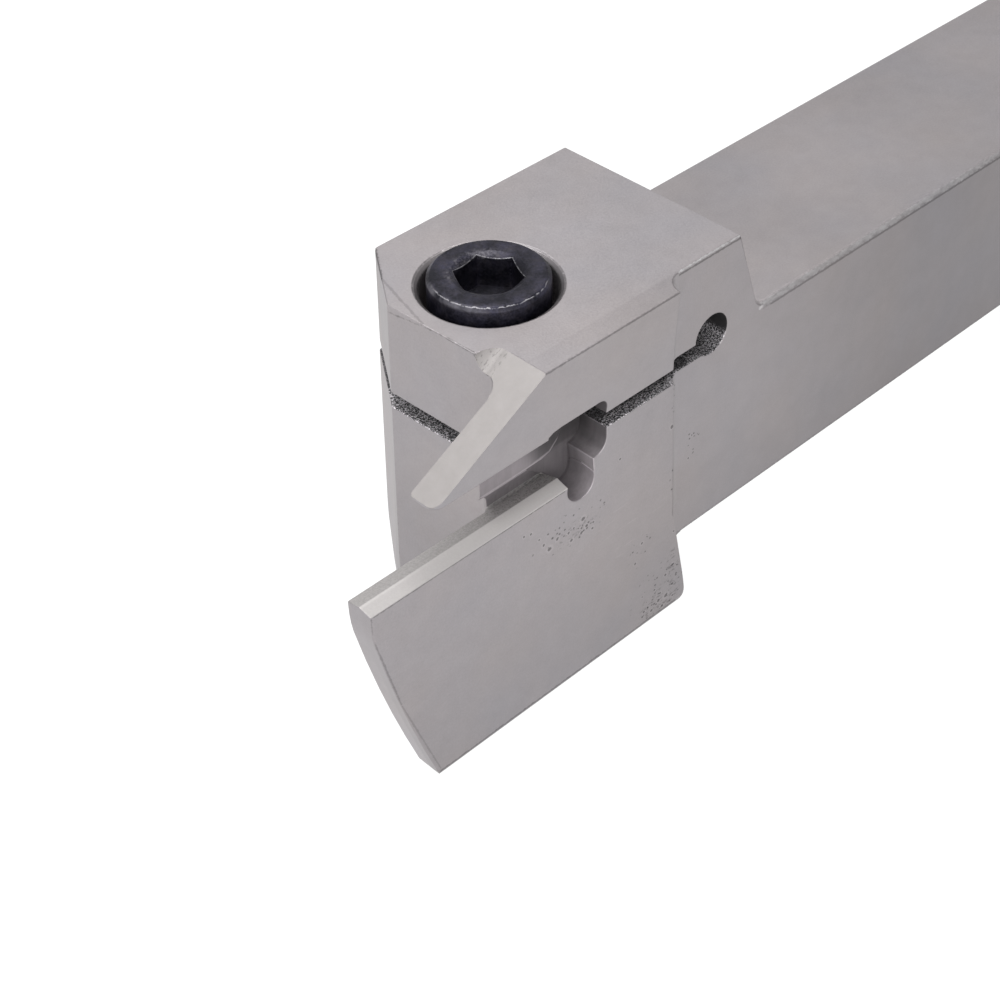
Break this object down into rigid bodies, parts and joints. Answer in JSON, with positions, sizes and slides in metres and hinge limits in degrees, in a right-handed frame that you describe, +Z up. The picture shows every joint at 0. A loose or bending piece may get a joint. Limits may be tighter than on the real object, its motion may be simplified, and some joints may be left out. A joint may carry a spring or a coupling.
{
  "type": "turning tool holder",
  "caption": "External parting and grooving tool holder for a lathe: square shank, thin blade with an insert seat, slotted clamp jaw and socket head clamp screw.",
  "frame": {"origin": "centre of the shank's underside, between its back end and the head", "axes": "+X runs along the shank to the cutting end, +Y to the side that carries the blade, +Z up"},
  "size_m": [0.125, 0.022, 0.0376],
  "materials": {
    "ground_steel": "satin, finely blasted after grinding",
    "black_steel": "black oxide, satin, lightly scuffed"
  },
  "bodies": {
    "holder": {"holder_body": "ground_steel"},
    "screw": {"clamp_screw": "black_steel"}
  },
  "joints": [
    {"name": "clamp_screw_turn", "type": "hinge", "parent": "holder", "child": "screw", "pos_m": [0.0571, 0.0003, 0.0237], "axis": [0, 0, 1], "range_deg": [0, 450]}
  ]
}
